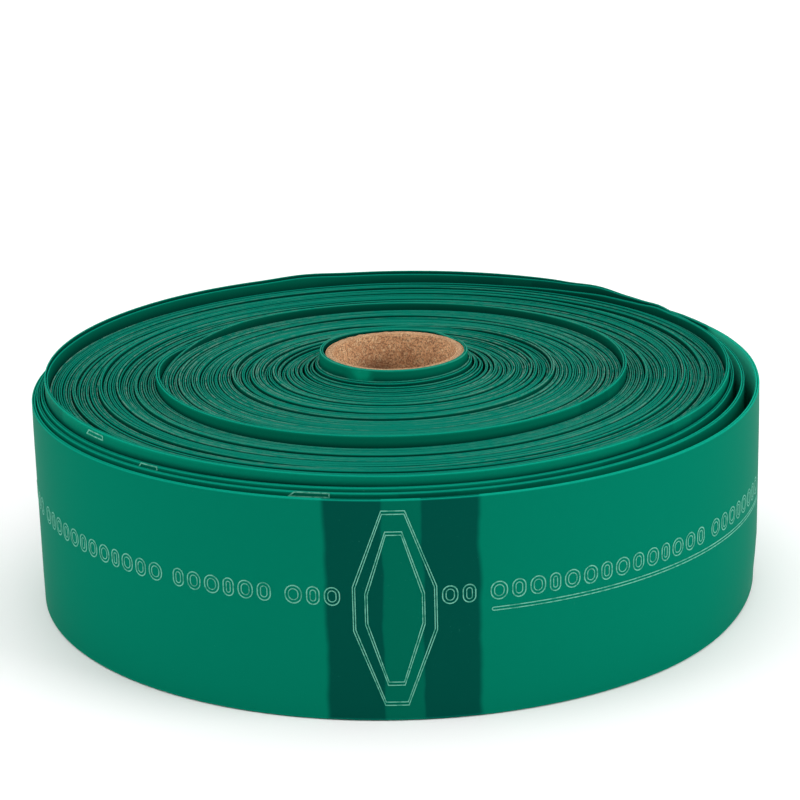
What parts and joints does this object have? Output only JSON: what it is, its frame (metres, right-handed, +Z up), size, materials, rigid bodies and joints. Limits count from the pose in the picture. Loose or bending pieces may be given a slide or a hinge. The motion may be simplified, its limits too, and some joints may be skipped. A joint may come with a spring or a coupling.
{
  "type": "resistance band roll",
  "caption": "Flat-wound roll of tubular elastic resistance band on a cardboard core, welded into a chain of loops, with a free end loop that peels off and opens.",
  "frame": {"origin": "on the axis of the core, in the plane that the roll lies on", "axes": "+Z up along the core's axis, -Y towards the front seal, +X to its right"},
  "size_m": [0.188, 0.188, 0.061],
  "materials": {
    "band": "smooth satin elastomer with a fine powdery bloom",
    "weld": "smooth satin elastomer, darker where two plies are fused",
    "print": "pale semi-matt ink outline",
    "core_board": "raw recycled board with dark specks",
    "core_paper": "smooth kraft liner paper",
    "tape": "matt crepe tape"
  },
  "bodies": {
    "root": {"core_liner": "core_paper", "core_tube": "core_board", "core_wrap": "core_paper", "starter_tape": "tape", "inner_collar_turn": "band", "wound_turns_a": "band", "raised_turn_a": "band", "wound_turns_b": "band", "raised_turn_b": "band", "wound_turns_c": "band", "raised_turn_c": "band", "wound_turns_d": "band", "raised_turn_d": "band", "wound_turns_e": "band", "rim_turn_inner": "band", "rim_turn_middle": "band", "rim_turn_outer": "band", "outer_turn_inner_ply": "band", "outer_turn_outer_ply": "band", "front_weld_bars": "weld", "root_weld_bars": "weld"},
    "back_leg_1": {"back_leg_1": "band"},
    "back_leg_2": {"back_leg_2": "band"},
    "back_apex": {"back_apex": "band"},
    "back_leg_3": {"back_leg_3": "band"},
    "back_leg_4": {"back_leg_4": "band"},
    "end_seal": {"end_seal": "band"},
    "front_leg_4": {"front_leg_4": "band"},
    "front_leg_3": {"front_leg_3": "band"},
    "front_apex_2": {"front_apex_2": "band"},
    "front_leg_1": {"front_leg_1": "band"},
    "front_leg_2": {"front_leg_2": "band"},
    "front_apex_1": {"front_apex_1": "band"}
  },
  "joints": [
    {"name": "free_loop_swing", "type": "hinge", "parent": "root", "child": "back_leg_1", "pos_m": [-0.0698, 0.06149, 0.0275], "axis": [0, 0, 1], "range_deg": [0, 21.28]},
    {"name": "back_bend_1", "type": "hinge", "parent": "back_leg_1", "child": "back_leg_2", "pos_m": [-0.04088, 0.08356, 0.0275], "axis": [0, 0, 1], "range_deg": [0, 23.5]},
    {"name": "back_bend_2", "type": "hinge", "parent": "back_leg_2", "child": "back_apex", "pos_m": [-0.00571, 0.09285, 0.0275], "axis": [0, 0, 1], "range_deg": [0, 47.58]},
    {"name": "back_bend_3", "type": "hinge", "parent": "back_apex", "child": "back_leg_3", "pos_m": [0.0101, 0.09248, 0.0275], "axis": [0, 0, 1], "range_deg": [0, 47.58]},
    {"name": "back_bend_4", "type": "hinge", "parent": "back_leg_3", "child": "back_leg_4", "pos_m": [0.0448, 0.08153, 0.0275], "axis": [0, 0, 1], "range_deg": [0, 23.5]},
    {"name": "end_seal_tilt", "type": "hinge", "parent": "back_leg_4", "child": "end_seal", "pos_m": [0.07264, 0.05811, 0.0275], "axis": [0, 0, 1], "range_deg": [-14, 0]},
    {"name": "front_bend_5", "type": "hinge", "parent": "end_seal", "child": "front_leg_4", "pos_m": [0.07323, 0.05858, 0.0275], "axis": [0, 0, 1], "range_deg": [-49.44, 0]},
    {"name": "front_bend_4", "type": "hinge", "parent": "front_leg_4", "child": "front_leg_3", "pos_m": [0.04516, 0.08218, 0.0275], "axis": [0, 0, 1], "range_deg": [-23.5, 0]},
    {"name": "front_bend_3", "type": "hinge", "parent": "front_leg_3", "child": "front_apex_2", "pos_m": [0.01018, 0.09322, 0.0275], "axis": [0, 0, 1], "range_deg": [0, 15.87]},
    {"name": "front_root_bend", "type": "hinge", "parent": "root", "child": "front_leg_1", "pos_m": [-0.07037, 0.06199, 0.0275], "axis": [0, 0, 1], "range_deg": [0, 84.81]},
    {"name": "front_bend_1", "type": "hinge", "parent": "front_leg_1", "child": "front_leg_2", "pos_m": [-0.04121, 0.08423, 0.0275], "axis": [0, 0, 1], "range_deg": [0, 23.5]},
    {"name": "front_bend_2", "type": "hinge", "parent": "front_leg_2", "child": "front_apex_1", "pos_m": [-0.00575, 0.0936, 0.0275], "axis": [0, 0, 1], "range_deg": [-16.03, 0]}
  ],
  "couplings": [
    {"joint": "back_bend_1", "follows": "free_loop_swing", "ratio": 1.06},
    {"joint": "back_bend_2", "follows": "free_loop_swing", "ratio": 2.1692},
    {"joint": "back_bend_3", "follows": "free_loop_swing", "ratio": 2.1692},
    {"joint": "back_bend_4", "follows": "free_loop_swing", "ratio": 1.06},
    {"joint": "end_seal_tilt", "follows": "free_loop_swing", "ratio": -0.6222},
    {"joint": "front_bend_5", "follows": "free_loop_swing", "ratio": -2.2553},
    {"joint": "front_bend_4", "follows": "free_loop_swing", "ratio": -1.06},
    {"joint": "front_bend_3", "follows": "free_loop_swing", "ratio": 0.70827},
    {"joint": "front_root_bend", "follows": "free_loop_swing", "ratio": 3.8849},
    {"joint": "front_bend_1", "follows": "free_loop_swing", "ratio": 1.06},
    {"joint": "front_bend_2", "follows": "free_loop_swing", "ratio": -0.71566}
  ]
}
